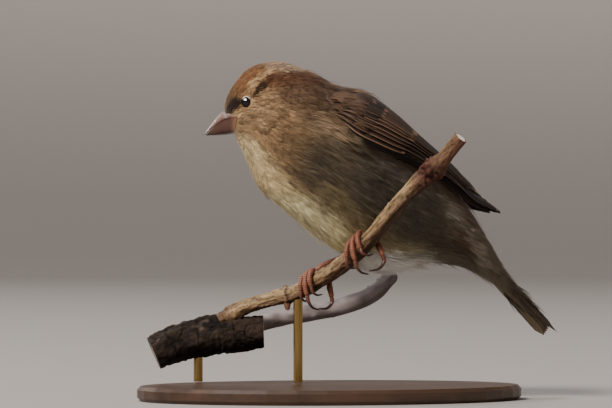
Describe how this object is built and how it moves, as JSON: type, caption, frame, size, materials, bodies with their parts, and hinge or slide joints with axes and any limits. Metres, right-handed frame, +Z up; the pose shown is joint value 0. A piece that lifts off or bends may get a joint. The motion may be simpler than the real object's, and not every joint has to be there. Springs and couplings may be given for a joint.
{
  "type": "house sparrow display model",
  "caption": "Life-size female house sparrow perched across a forked cut twig, head level, tail low, on rods over a flat oval base.",
  "frame": {"origin": "centre of the underside of the oval display base", "axes": "+Z up; the bird looks along -X and its left side is towards -Y"},
  "size_m": [0.1452, 0.0882, 0.1148],
  "materials": {
    "plumage_head": "soft, finely streaked rufous-brown and buff feathers",
    "plumage_body": "soft buff, cream and grey-brown body feathers",
    "plumage_rump": "soft grey-brown feathers, paler below",
    "wing_coverts": "dark brown feathers with rufous-buff edges",
    "flight_feather": "dark brown flight feathers with thin pale edges, slight sheen",
    "bill_horn": "greyish-pink horn, darker below, satin",
    "eye_gloss": "black-brown, wet gloss",
    "leg_skin": "scaled reddish-pink skin, satin",
    "claw_horn": "dark brown horn, satin",
    "twig_bark": "fine tan bark, dull",
    "branch_bark": "rough dark brown bark, dull",
    "fork_bark": "smooth mauve-grey bark, dull",
    "base_wood": "dark stained wood, satin",
    "rod_brass": "brushed brass"
  },
  "bodies": {
    "root": {"head": "plumage_head", "neck": "plumage_head", "trunk": "plumage_body", "rump": "plumage_rump", "bill_upper": "bill_horn", "bill_lower": "bill_horn", "eye_left": "eye_gloss", "wing_left_coverts": "wing_coverts", "wing_left_secondaries": "wing_coverts", "wing_left_primaries": "flight_feather", "tail_left": "flight_feather", "eye_right": "eye_gloss", "wing_right_coverts": "wing_coverts", "wing_right_secondaries": "wing_coverts", "wing_right_primaries": "flight_feather", "tail_right": "flight_feather", "thigh_left": "plumage_body", "tarsus_left": "leg_skin", "toe_left_hind": "leg_skin", "claw_left_hind": "claw_horn", "toe_left_inner": "leg_skin", "claw_left_inner": "claw_horn", "toe_left_middle": "leg_skin", "claw_left_middle": "claw_horn", "toe_left_outer": "leg_skin", "claw_left_outer": "claw_horn", "thigh_right": "plumage_body", "tarsus_right": "leg_skin", "toe_right_hind": "leg_skin", "claw_right_hind": "claw_horn", "toe_right_inner": "leg_skin", "claw_right_inner": "claw_horn", "toe_right_middle": "leg_skin", "claw_right_middle": "claw_horn", "toe_right_outer": "leg_skin", "claw_right_outer": "claw_horn", "perch_twig": "twig_bark", "perch_branch": "branch_bark", "perch_fork": "fork_bark", "stand_base": "base_wood", "stand_rod_twig": "rod_brass", "stand_rod_branch": "rod_brass"}
  },
  "joints": []
}
